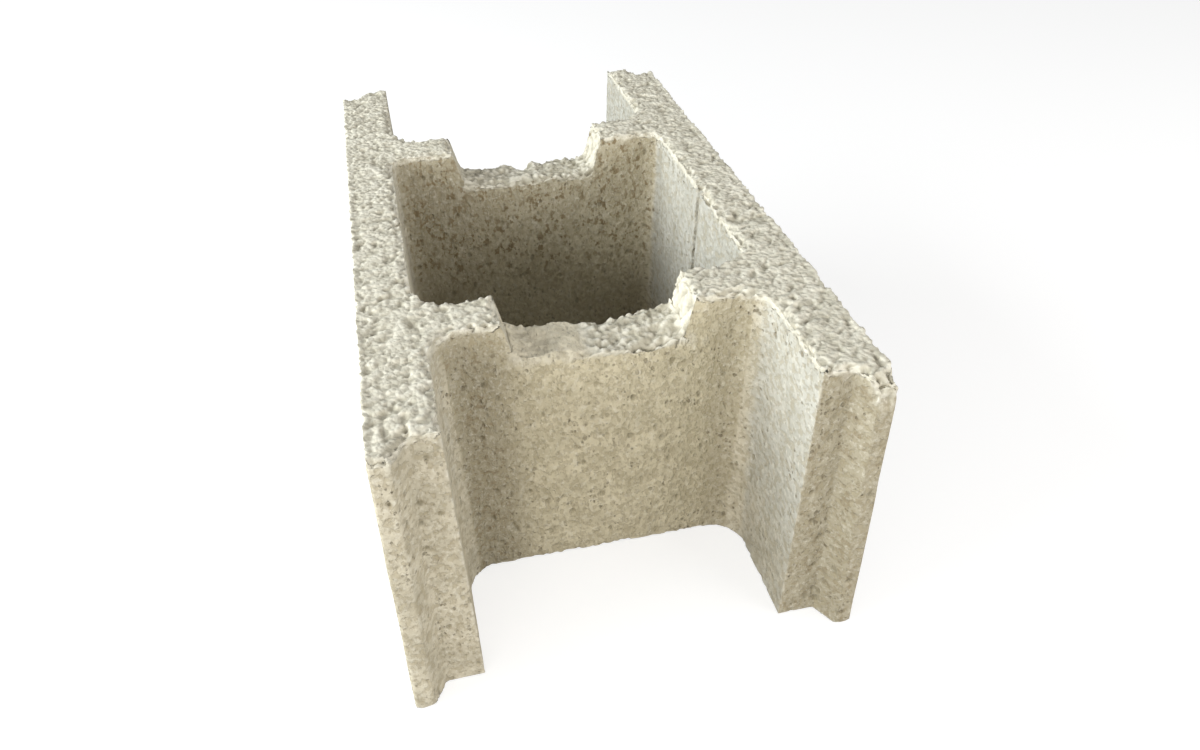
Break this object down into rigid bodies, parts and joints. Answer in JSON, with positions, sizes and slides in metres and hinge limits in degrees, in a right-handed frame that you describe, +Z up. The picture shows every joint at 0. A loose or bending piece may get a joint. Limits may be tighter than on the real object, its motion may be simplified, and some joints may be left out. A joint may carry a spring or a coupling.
{
  "type": "concrete shuttering block",
  "caption": "Hollow concrete shuttering block: long shells joined by notched webs, with a closed middle cell, open end cells and interlocking ends.",
  "frame": {"origin": "centre of the block's footprint, on its underside", "axes": "+X across the block, to the right in the picture; +Y along the block, away from the tongued end that the picture shows nearest; +Z up, towards the notched tops of the webs"},
  "size_m": [0.285, 0.516, 0.2],
  "materials": {
    "concrete": "as-cast zero-slump concrete: rough open-textured top, pitted moulded faces, matt"
  },
  "bodies": {
    "root": {"shuttering_block": "concrete"}
  },
  "joints": []
}
